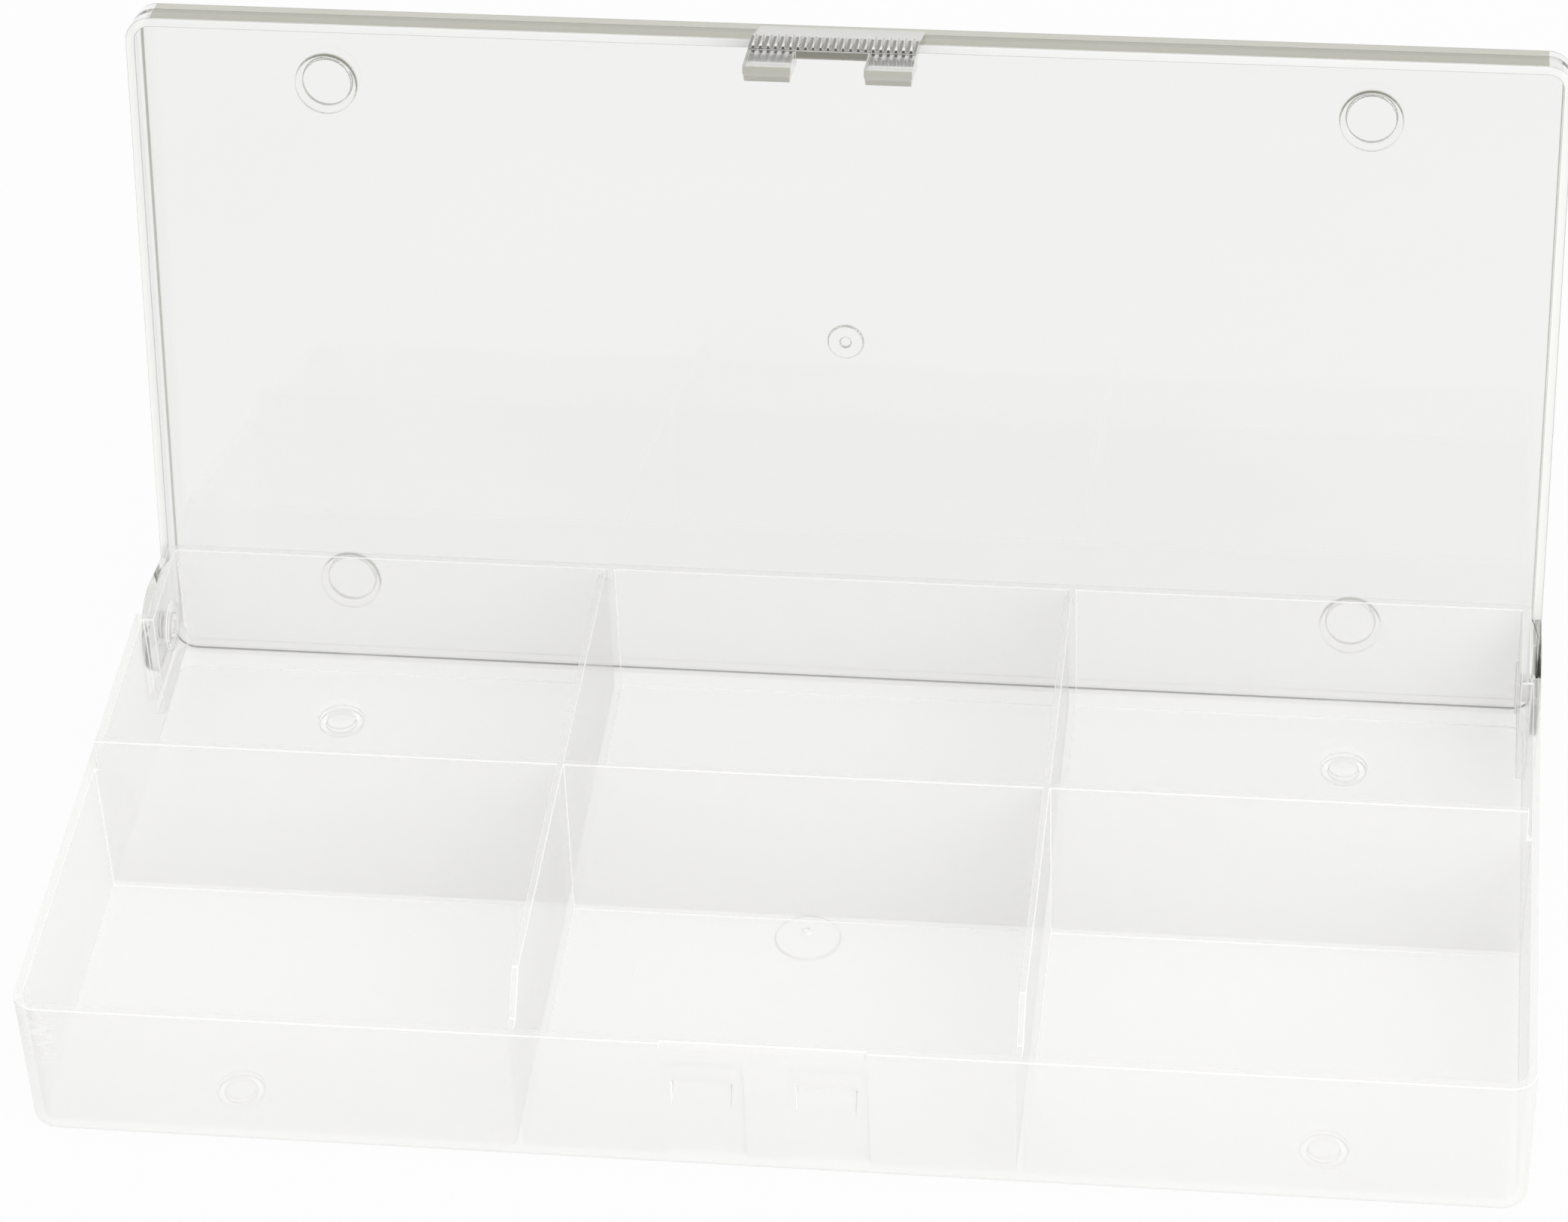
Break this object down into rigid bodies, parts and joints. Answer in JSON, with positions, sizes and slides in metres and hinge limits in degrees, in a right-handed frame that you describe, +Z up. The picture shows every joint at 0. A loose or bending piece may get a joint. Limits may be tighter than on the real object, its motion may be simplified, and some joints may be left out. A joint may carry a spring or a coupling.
{
  "type": "compartment storage box",
  "caption": "Shallow frosted tray with compartments and raised dividers, and a clear hinged lid with a snap latch; holds small craft parts.",
  "frame": {"origin": "middle of the four ring feet, in the plane they stand on", "axes": "+X to the right along the width, +Y to the rear where the hinge is, +Z up; the latch is at -Y when shut"},
  "size_m": [0.2, 0.1227, 0.1087],
  "materials": {
    "tray_frosted": "frosted",
    "lid_clear": "clear gloss"
  },
  "bodies": {
    "tray": {"tray_shell": "tray_frosted", "long_divider": "tray_frosted", "cross_divider_left_front": "tray_frosted", "cross_divider_left_rear": "tray_frosted", "cross_divider_right_front": "tray_frosted", "cross_divider_right_rear": "tray_frosted", "foot_left_front": "tray_frosted", "foot_left_rear": "tray_frosted", "foot_right_front": "tray_frosted", "foot_right_rear": "tray_frosted", "hinge_boss_left": "tray_frosted", "hinge_boss_right": "tray_frosted"},
    "lid": {"lid_shell": "lid_clear", "hinge_ear_left": "lid_clear", "hinge_ear_right": "lid_clear", "hinge_peg_left": "lid_clear", "hinge_peg_right": "lid_clear", "stack_boss_left_front": "lid_clear", "stack_boss_left_rear": "lid_clear", "stack_boss_right_front": "lid_clear", "stack_boss_right_rear": "lid_clear"},
    "latch": {"latch_tongue": "lid_clear", "latch_hook_left": "lid_clear", "latch_hook_right": "lid_clear", "grip_strip": "lid_clear"}
  },
  "joints": [
    {"name": "lid_hinge", "type": "hinge", "parent": "tray", "child": "lid", "pos_m": [0, 0.0411, 0.0154], "axis": [1, 0, 0], "range_deg": [0, 101]},
    {"name": "latch_flex", "type": "hinge", "parent": "lid", "child": "latch", "pos_m": [0, 0.07105, 0.10238], "axis": [-1, 0, 0], "range_deg": [0, 7], "stiffness_Nm_per_rad": 0.6}
  ]
}
